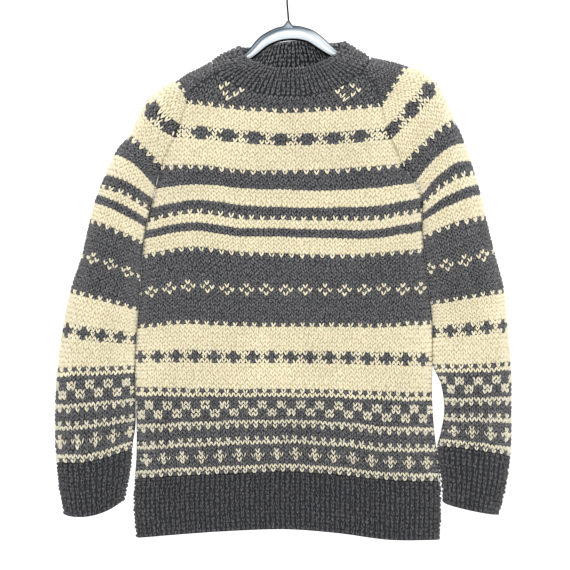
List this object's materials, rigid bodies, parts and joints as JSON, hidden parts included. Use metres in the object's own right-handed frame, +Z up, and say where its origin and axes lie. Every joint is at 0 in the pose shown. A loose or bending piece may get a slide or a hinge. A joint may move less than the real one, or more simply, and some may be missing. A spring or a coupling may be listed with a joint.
{
  "type": "fair isle sweater on a hanger",
  "caption": "Chunky knitted raglan pullover with ribbed collar, hem and cuffs, hanging on an arched hanger with a wire hook.",
  "frame": {"origin": "inside top of the hook's crown, where a rail holds the hanger", "axes": "+Z up, the garment's front faces -Y, the wearer's left sleeve is at +X"},
  "size_m": [0.6873, 0.076, 0.8619],
  "materials": {
    "body_wool": "chunky stockinette in cream and charcoal heather wool",
    "sleeve_wool": "chunky stockinette in cream and charcoal heather wool",
    "rib_wool": "single rib in charcoal heather wool",
    "hanger_plastic": "glossy pale silver",
    "hook_wire": "bent bright wire"
  },
  "bodies": {
    "root": {"body_front": "body_wool", "body_back": "body_wool", "sleeve_right": "sleeve_wool", "sleeve_left": "sleeve_wool", "collar": "rib_wool", "hem_rib": "rib_wool", "cuff_right": "rib_wool", "cuff_left": "rib_wool", "hanger": "hanger_plastic", "hanger_hook": "hook_wire"}
  },
  "joints": []
}
